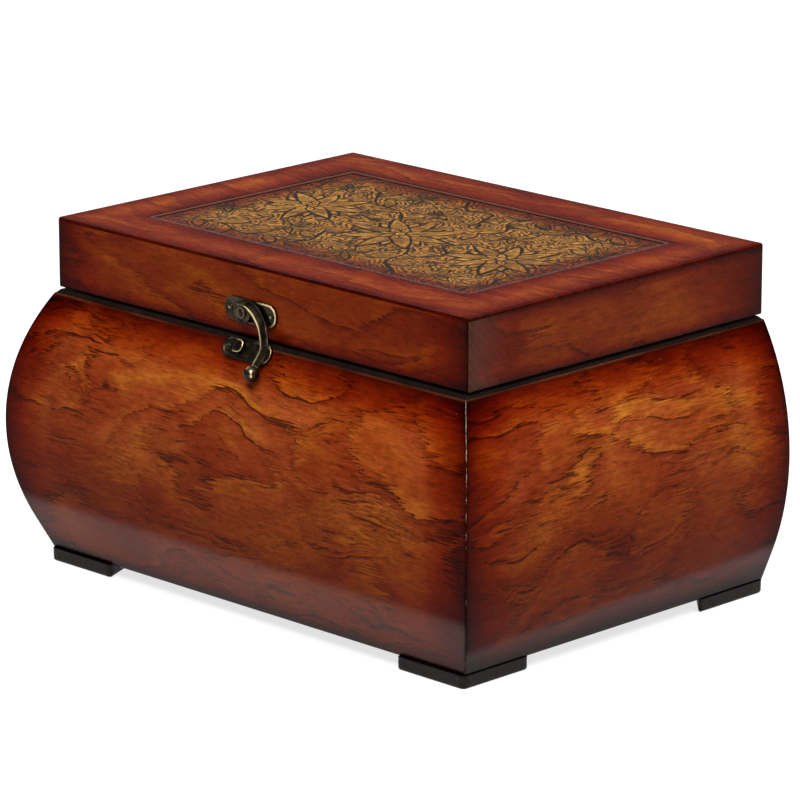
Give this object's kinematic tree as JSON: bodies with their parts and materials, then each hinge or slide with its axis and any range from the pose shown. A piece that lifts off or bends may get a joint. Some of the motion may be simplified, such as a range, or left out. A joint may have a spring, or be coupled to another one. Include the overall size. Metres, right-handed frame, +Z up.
{
  "type": "decorative box",
  "caption": "Keepsake box with bowed veneered walls, a hinged lid with an embossed leather panel, a swing-hook clasp and block feet.",
  "frame": {"origin": "under the middle of the whole box, on the surface that it stands on", "axes": "+X to the right seen from the front, -Y to the front where the clasp is, +Z up"},
  "size_m": [0.2722, 0.1978, 0.15],
  "materials": {
    "veneer": "figured veneer, stained red-brown and darkened towards its edges, glossy lacquer",
    "black_board": "board with black paint, satin",
    "foot_paint": "rough brown-black paint",
    "leather": "embossed with flowers and scrolls, golden tan with dark outlines",
    "felt": "black felt",
    "bronze": "antique bronze, worn bright on its ridges"
  },
  "bodies": {
    "box": {"front_wall": "black_board", "left_wall": "black_board", "right_wall": "black_board", "back_wall": "black_board", "front_veneer": "veneer", "left_veneer": "veneer", "right_veneer": "veneer", "back_veneer": "veneer", "base_board": "black_board", "base_liner": "felt", "foot_front_left": "foot_paint", "foot_front_right": "foot_paint", "foot_back_left": "foot_paint", "foot_back_right": "foot_paint", "catch_plate": "bronze", "catch_plate_nails": "bronze", "hinge_body_leaf_left": "bronze", "hinge_body_leaf_right": "bronze", "hinge_pin_left": "bronze", "hinge_pin_right": "bronze", "hinge_body_screws": "bronze"},
    "lid": {"lid_front_rail": "black_board", "lid_back_rail": "black_board", "lid_left_rail": "black_board", "lid_right_rail": "black_board", "lid_top_board": "black_board", "lid_front_veneer": "veneer", "lid_back_veneer": "veneer", "lid_left_veneer": "veneer", "lid_right_veneer": "veneer", "lid_top_veneer": "veneer", "leather_panel": "leather", "hasp_plate": "bronze", "hasp_plate_nails": "bronze", "hook_rivet": "bronze", "hinge_lid_leaf_left": "bronze", "hinge_lid_leaf_right": "bronze", "hinge_lid_screws": "bronze"},
    "swing_hook": {"swing_hook": "bronze"}
  },
  "joints": [
    {"name": "lid_hinge", "type": "hinge", "parent": "box", "child": "lid", "pos_m": [0, 0.09569, 0.1194], "axis": [-1, 0, 0], "range_deg": [0, 98]},
    {"name": "hook_pivot", "type": "hinge", "parent": "lid", "child": "swing_hook", "pos_m": [-0.0044, -0.08331, 0.1302], "axis": [0, -1, 0], "range_deg": [0, 120]}
  ]
}
